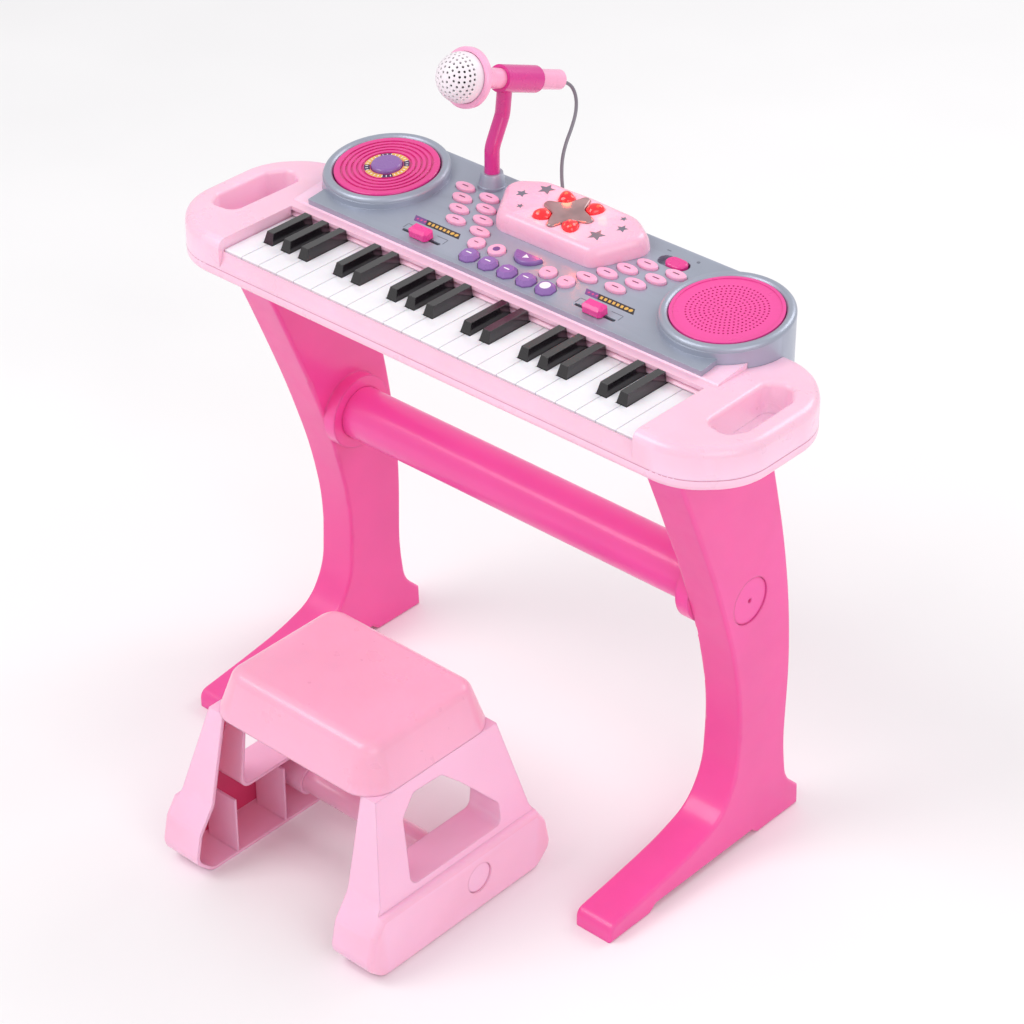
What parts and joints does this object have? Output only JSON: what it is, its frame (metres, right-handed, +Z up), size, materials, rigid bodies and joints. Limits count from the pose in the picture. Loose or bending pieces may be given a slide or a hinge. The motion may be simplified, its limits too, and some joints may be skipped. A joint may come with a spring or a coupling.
{
  "type": "toy electronic keyboard",
  "caption": "Pink toy electronic keyboard on two moulded legs, with turntable, speaker, star lights, a microphone on an arm and a matching stool.",
  "frame": {"origin": "floor level under the middle of the set's box, cord left out", "axes": "+X to the player's right, +Y away from the player, +Z up"},
  "size_m": [0.6, 0.5015, 0.6116],
  "materials": {
    "shell_pink": "light pink gloss",
    "hot_pink": "magenta pink gloss",
    "deep_pink": "deep pink satin",
    "seat_pink": "pink gloss",
    "pad_pink": "pink satin",
    "disc_pink": "deep pink gloss",
    "purple": "purple gloss",
    "ivory": "white gloss",
    "black": "black gloss",
    "silver": "silver painted plastic",
    "grille_white": "white plastic",
    "smoke_lens": "smoked translucent plastic",
    "red_lens": "red translucent plastic",
    "cord_grey": "grey flexible cord",
    "board_green": "printed board",
    "steel": "screw steel",
    "dark_plastic": "dark plastic"
  },
  "bodies": {
    "console": {"upper_case": "shell_pink", "lower_case": "shell_pink", "battery_door": "shell_pink", "control_panel": "shell_pink", "speaker_grille": "hot_pink", "speaker_driver": "dark_plastic", "light_hump": "silver", "star_lens": "smoke_lens", "petal_lenses": "red_lens", "circuit_board": "board_green", "key_frame": "dark_plastic", "mic_stand": "deep_pink", "mic_cord": "cord_grey", "cord_grommet": "cord_grey", "right_leg": "hot_pink", "left_leg": "hot_pink", "crossbar": "hot_pink", "leg_plugs": "deep_pink", "case_screws": "steel"},
    "turntable": {"turntable": "disc_pink"},
    "turntable_button": {"turntable_button": "purple"},
    "left_buttons": {"left_buttons": "pad_pink"},
    "right_buttons": {"right_buttons": "pad_pink"},
    "drum_buttons": {"drum_buttons": "pad_pink"},
    "demo_button": {"demo_button": "purple"},
    "tempo_knob": {"tempo_knob": "hot_pink"},
    "volume_knob": {"volume_knob": "hot_pink"},
    "power_switch": {"power_switch": "hot_pink"},
    "microphone": {"mic_handle": "seat_pink", "mic_grille": "grille_white"},
    "stool": {"stool_right_side": "seat_pink", "stool_left_side": "seat_pink", "stool_seat": "seat_pink", "stool_crossbar": "deep_pink", "stool_plugs": "deep_pink"},
    "white_key_01": {"white_key_01": "ivory"},
    "white_key_02": {"white_key_02": "ivory"},
    "white_key_03": {"white_key_03": "ivory"},
    "white_key_04": {"white_key_04": "ivory"},
    "white_key_05": {"white_key_05": "ivory"},
    "white_key_06": {"white_key_06": "ivory"},
    "white_key_07": {"white_key_07": "ivory"},
    "white_key_08": {"white_key_08": "ivory"},
    "white_key_09": {"white_key_09": "ivory"},
    "white_key_10": {"white_key_10": "ivory"},
    "white_key_11": {"white_key_11": "ivory"},
    "white_key_12": {"white_key_12": "ivory"},
    "white_key_13": {"white_key_13": "ivory"},
    "white_key_14": {"white_key_14": "ivory"},
    "white_key_15": {"white_key_15": "ivory"},
    "white_key_16": {"white_key_16": "ivory"},
    "white_key_17": {"white_key_17": "ivory"},
    "white_key_18": {"white_key_18": "ivory"},
    "white_key_19": {"white_key_19": "ivory"},
    "white_key_20": {"white_key_20": "ivory"},
    "white_key_21": {"white_key_21": "ivory"},
    "white_key_22": {"white_key_22": "ivory"},
    "black_keys_1": {"black_keys_1": "black"},
    "black_keys_2": {"black_keys_2": "black"},
    "black_keys_3": {"black_keys_3": "black"}
  },
  "joints": [
    {"name": "turntable_spin", "type": "hinge", "parent": "console", "child": "turntable", "pos_m": [-0.182, 0.1182, 0.47525], "axis": [0, -0.1115, 0.9938], "continuous": true},
    {"name": "turntable_button_press", "type": "slide", "parent": "turntable", "child": "turntable_button", "axis": [0, 0.1115, -0.9938], "range_m": [0, 0.0012], "stiffness_N_per_m": 400, "springref_m": -0.003},
    {"name": "left_buttons_press", "type": "slide", "parent": "console", "child": "left_buttons", "axis": [0, 0.1115, -0.9938], "range_m": [0, 0.0012], "stiffness_N_per_m": 400, "springref_m": -0.003},
    {"name": "right_buttons_press", "type": "slide", "parent": "console", "child": "right_buttons", "axis": [0, 0.1115, -0.9938], "range_m": [0, 0.0012], "stiffness_N_per_m": 400, "springref_m": -0.003},
    {"name": "drum_buttons_press", "type": "slide", "parent": "console", "child": "drum_buttons", "axis": [0, 0.1115, -0.9938], "range_m": [0, 0.0012], "stiffness_N_per_m": 400, "springref_m": -0.003},
    {"name": "demo_button_press", "type": "slide", "parent": "console", "child": "demo_button", "axis": [0, 0.1115, -0.9938], "range_m": [0, 0.0012], "stiffness_N_per_m": 400, "springref_m": -0.003},
    {"name": "tempo_knob_slide", "type": "slide", "parent": "console", "child": "tempo_knob", "axis": [1, 0, 0], "range_m": [-0.014, 0.014]},
    {"name": "volume_knob_slide", "type": "slide", "parent": "console", "child": "volume_knob", "axis": [1, 0, 0], "range_m": [-0.014, 0.014]},
    {"name": "power_switch_slide", "type": "slide", "parent": "console", "child": "power_switch", "axis": [1, 0, 0], "range_m": [-0.006, 0]},
    {"name": "microphone_draw", "type": "slide", "parent": "console", "child": "microphone", "axis": [0, -0.9391, 0.3437], "range_m": [0, 0.05]},
    {"name": "white_key_01_hinge", "type": "hinge", "parent": "console", "child": "white_key_01", "pos_m": [-0.21, 0.0684, 0.4475], "axis": [1, 0, 0], "range_deg": [0, 2.8], "stiffness_Nm_per_rad": 0.3, "springref_deg": -8.59},
    {"name": "white_key_02_hinge", "type": "hinge", "parent": "console", "child": "white_key_02", "pos_m": [-0.19, 0.0684, 0.4475], "axis": [1, 0, 0], "range_deg": [0, 2.8], "stiffness_Nm_per_rad": 0.3, "springref_deg": -8.59},
    {"name": "white_key_03_hinge", "type": "hinge", "parent": "console", "child": "white_key_03", "pos_m": [-0.17, 0.0684, 0.4475], "axis": [1, 0, 0], "range_deg": [0, 2.8], "stiffness_Nm_per_rad": 0.3, "springref_deg": -8.59},
    {"name": "white_key_04_hinge", "type": "hinge", "parent": "console", "child": "white_key_04", "pos_m": [-0.15, 0.0684, 0.4475], "axis": [1, 0, 0], "range_deg": [0, 2.8], "stiffness_Nm_per_rad": 0.3, "springref_deg": -8.59},
    {"name": "white_key_05_hinge", "type": "hinge", "parent": "console", "child": "white_key_05", "pos_m": [-0.13, 0.0684, 0.4475], "axis": [1, 0, 0], "range_deg": [0, 2.8], "stiffness_Nm_per_rad": 0.3, "springref_deg": -8.59},
    {"name": "white_key_06_hinge", "type": "hinge", "parent": "console", "child": "white_key_06", "pos_m": [-0.11, 0.0684, 0.4475], "axis": [1, 0, 0], "range_deg": [0, 2.8], "stiffness_Nm_per_rad": 0.3, "springref_deg": -8.59},
    {"name": "white_key_07_hinge", "type": "hinge", "parent": "console", "child": "white_key_07", "pos_m": [-0.09, 0.0684, 0.4475], "axis": [1, 0, 0], "range_deg": [0, 2.8], "stiffness_Nm_per_rad": 0.3, "springref_deg": -8.59},
    {"name": "white_key_08_hinge", "type": "hinge", "parent": "console", "child": "white_key_08", "pos_m": [-0.07, 0.0684, 0.4475], "axis": [1, 0, 0], "range_deg": [0, 2.8], "stiffness_Nm_per_rad": 0.3, "springref_deg": -8.59},
    {"name": "white_key_09_hinge", "type": "hinge", "parent": "console", "child": "white_key_09", "pos_m": [-0.05, 0.0684, 0.4475], "axis": [1, 0, 0], "range_deg": [0, 2.8], "stiffness_Nm_per_rad": 0.3, "springref_deg": -8.59},
    {"name": "white_key_10_hinge", "type": "hinge", "parent": "console", "child": "white_key_10", "pos_m": [-0.03, 0.0684, 0.4475], "axis": [1, 0, 0], "range_deg": [0, 2.8], "stiffness_Nm_per_rad": 0.3, "springref_deg": -8.59},
    {"name": "white_key_11_hinge", "type": "hinge", "parent": "console", "child": "white_key_11", "pos_m": [-0.01, 0.0684, 0.4475], "axis": [1, 0, 0], "range_deg": [0, 2.8], "stiffness_Nm_per_rad": 0.3, "springref_deg": -8.59},
    {"name": "white_key_12_hinge", "type": "hinge", "parent": "console", "child": "white_key_12", "pos_m": [0.01, 0.0684, 0.4475], "axis": [1, 0, 0], "range_deg": [0, 2.8], "stiffness_Nm_per_rad": 0.3, "springref_deg": -8.59},
    {"name": "white_key_13_hinge", "type": "hinge", "parent": "console", "child": "white_key_13", "pos_m": [0.03, 0.0684, 0.4475], "axis": [1, 0, 0], "range_deg": [0, 2.8], "stiffness_Nm_per_rad": 0.3, "springref_deg": -8.59},
    {"name": "white_key_14_hinge", "type": "hinge", "parent": "console", "child": "white_key_14", "pos_m": [0.05, 0.0684, 0.4475], "axis": [1, 0, 0], "range_deg": [0, 2.8], "stiffness_Nm_per_rad": 0.3, "springref_deg": -8.59},
    {"name": "white_key_15_hinge", "type": "hinge", "parent": "console", "child": "white_key_15", "pos_m": [0.07, 0.0684, 0.4475], "axis": [1, 0, 0], "range_deg": [0, 2.8], "stiffness_Nm_per_rad": 0.3, "springref_deg": -8.59},
    {"name": "white_key_16_hinge", "type": "hinge", "parent": "console", "child": "white_key_16", "pos_m": [0.09, 0.0684, 0.4475], "axis": [1, 0, 0], "range_deg": [0, 2.8], "stiffness_Nm_per_rad": 0.3, "springref_deg": -8.59},
    {"name": "white_key_17_hinge", "type": "hinge", "parent": "console", "child": "white_key_17", "pos_m": [0.11, 0.0684, 0.4475], "axis": [1, 0, 0], "range_deg": [0, 2.8], "stiffness_Nm_per_rad": 0.3, "springref_deg": -8.59},
    {"name": "white_key_18_hinge", "type": "hinge", "parent": "console", "child": "white_key_18", "pos_m": [0.13, 0.0684, 0.4475], "axis": [1, 0, 0], "range_deg": [0, 2.8], "stiffness_Nm_per_rad": 0.3, "springref_deg": -8.59},
    {"name": "white_key_19_hinge", "type": "hinge", "parent": "console", "child": "white_key_19", "pos_m": [0.15, 0.0684, 0.4475], "axis": [1, 0, 0], "range_deg": [0, 2.8], "stiffness_Nm_per_rad": 0.3, "springref_deg": -8.59},
    {"name": "white_key_20_hinge", "type": "hinge", "parent": "console", "child": "white_key_20", "pos_m": [0.17, 0.0684, 0.4475], "axis": [1, 0, 0], "range_deg": [0, 2.8], "stiffness_Nm_per_rad": 0.3, "springref_deg": -8.59},
    {"name": "white_key_21_hinge", "type": "hinge", "parent": "console", "child": "white_key_21", "pos_m": [0.19, 0.0684, 0.4475], "axis": [1, 0, 0], "range_deg": [0, 2.8], "stiffness_Nm_per_rad": 0.3, "springref_deg": -8.59},
    {"name": "white_key_22_hinge", "type": "hinge", "parent": "console", "child": "white_key_22", "pos_m": [0.21, 0.0684, 0.4475], "axis": [1, 0, 0], "range_deg": [0, 2.8], "stiffness_Nm_per_rad": 0.3, "springref_deg": -8.59},
    {"name": "black_keys_1_hinge", "type": "hinge", "parent": "console", "child": "black_keys_1", "pos_m": [-0.15, 0.0684, 0.4475], "axis": [1, 0, 0], "range_deg": [0, 2.8], "stiffness_Nm_per_rad": 0.6, "springref_deg": -8.59},
    {"name": "black_keys_2_hinge", "type": "hinge", "parent": "console", "child": "black_keys_2", "pos_m": [-0.01, 0.0684, 0.4475], "axis": [1, 0, 0], "range_deg": [0, 2.8], "stiffness_Nm_per_rad": 0.6, "springref_deg": -8.59},
    {"name": "black_keys_3_hinge", "type": "hinge", "parent": "console", "child": "black_keys_3", "pos_m": [0.13, 0.0684, 0.4475], "axis": [1, 0, 0], "range_deg": [0, 2.8], "stiffness_Nm_per_rad": 0.6, "springref_deg": -8.59},
    {"name": "stool_slide", "type": "slide", "parent": "console", "child": "stool", "axis": [0, -1, 0], "range_m": [0, 0.2]}
  ]
}
